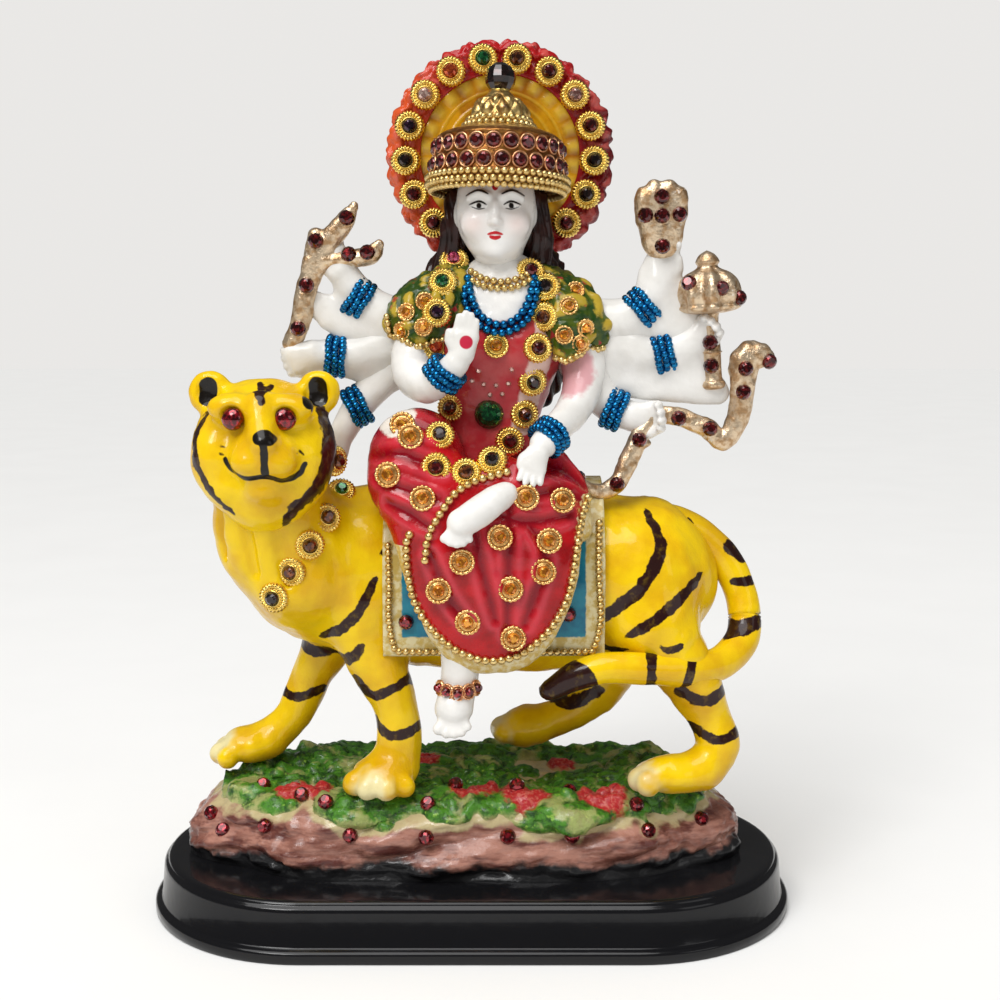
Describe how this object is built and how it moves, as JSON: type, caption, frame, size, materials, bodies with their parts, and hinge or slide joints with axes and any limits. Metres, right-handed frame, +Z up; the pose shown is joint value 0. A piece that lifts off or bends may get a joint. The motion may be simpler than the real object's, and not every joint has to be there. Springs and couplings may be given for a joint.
{
  "type": "hindu deity statue",
  "caption": "Many-armed goddess seated on a walking tiger before a round halo, cast, painted and jewelled, on a black oblong plinth.",
  "frame": {"origin": "centre of the plinth's underside", "axes": "+Z up, -Y towards the front where the goddess faces, +X towards the tiger's tail"},
  "size_m": [0.156, 0.08, 0.2076],
  "materials": {
    "black_gloss": "deep glossy black",
    "painted_rock": "cast stone mix, glossy pink-brown paint with dark and cream patches",
    "painted_moss": "rough stippled green paint with red flecks",
    "tiger_paint": "glossy yellow lacquer with brushed brown stripes",
    "red_stone": "foiled dark red rhinestone",
    "cloth_blue_paint": "glossy turquoise panels in a cream and gold border",
    "gold_bead": "pale gold metallised bead",
    "gold_setting": "bright pressed gold with fluted rays",
    "citrine_stone": "foiled amber rhinestone",
    "garland_stone": "foiled dark stones in mixed colours",
    "red_paint": "glossy crimson with pink highlights in the folds",
    "white_paint": "glossy white lacquer",
    "blouse_paint": "glossy rose red",
    "hair_paint": "glossy brown black",
    "blue_bead": "metallic blue bead",
    "shawl_paint": "olive green paint with gold relief",
    "gold_paint": "pale champagne gold paint, worn at the edges",
    "crown_paint": "copper brown paint with gold leaf relief",
    "black_stone": "faceted black glass ball",
    "halo_red_paint": "glossy crimson to orange",
    "halo_gold_paint": "glossy golden yellow",
    "green_stone": "dark green faceted stone"
  },
  "bodies": {
    "root": {"plinth": "black_gloss", "ground_rock": "painted_rock", "ground_moss": "painted_moss", "ground_stones": "red_stone", "tiger_body": "tiger_paint", "tiger_neck": "tiger_paint", "tiger_head": "tiger_paint", "tiger_ears": "tiger_paint", "tiger_eyes": "red_stone", "tiger_front_leg_near": "tiger_paint", "tiger_front_leg_far": "tiger_paint", "tiger_hind_leg_near": "tiger_paint", "tiger_hind_leg_far": "tiger_paint", "tiger_tail": "tiger_paint", "tiger_garland_flowers": "gold_setting", "tiger_garland_gems": "garland_stone", "saddle_cloth": "cloth_blue_paint", "saddle_beads": "gold_bead", "saddle_stones": "red_stone", "skirt": "red_paint", "skirt_hem_beads": "gold_bead", "skirt_medallions": "gold_setting", "skirt_citrines": "citrine_stone", "crossed_foot": "white_paint", "hanging_foot": "white_paint", "anklet": "gold_setting", "anklet_stones": "red_stone", "torso": "blouse_paint", "head": "white_paint", "hair": "hair_paint", "arm_front_right": "white_paint", "arm_upper_right": "white_paint", "arm_middle_right": "white_paint", "arm_lower_right": "white_paint", "arm_front_left": "white_paint", "arm_upper_left": "white_paint", "arm_middle_left": "white_paint", "arm_lower_left": "white_paint", "bracelets": "blue_bead", "shawl": "shawl_paint", "shawl_beads": "gold_bead", "shawl_medallions": "gold_setting", "trident": "gold_paint", "lotus": "gold_paint", "mace": "gold_paint", "bow": "gold_paint", "attribute_stones": "red_stone", "crown": "crown_paint", "crown_beads": "gold_bead", "crown_stones": "red_stone", "crown_finial": "black_stone", "halo_plate": "halo_red_paint", "halo_panel": "halo_gold_paint", "halo_flowers": "gold_setting", "halo_gems": "garland_stone", "choker_beads": "gold_bead", "blue_necklace": "blue_bead", "garland_flowers": "gold_setting", "garland_gems": "garland_stone", "body_jewels": "green_stone"}
  },
  "joints": []
}
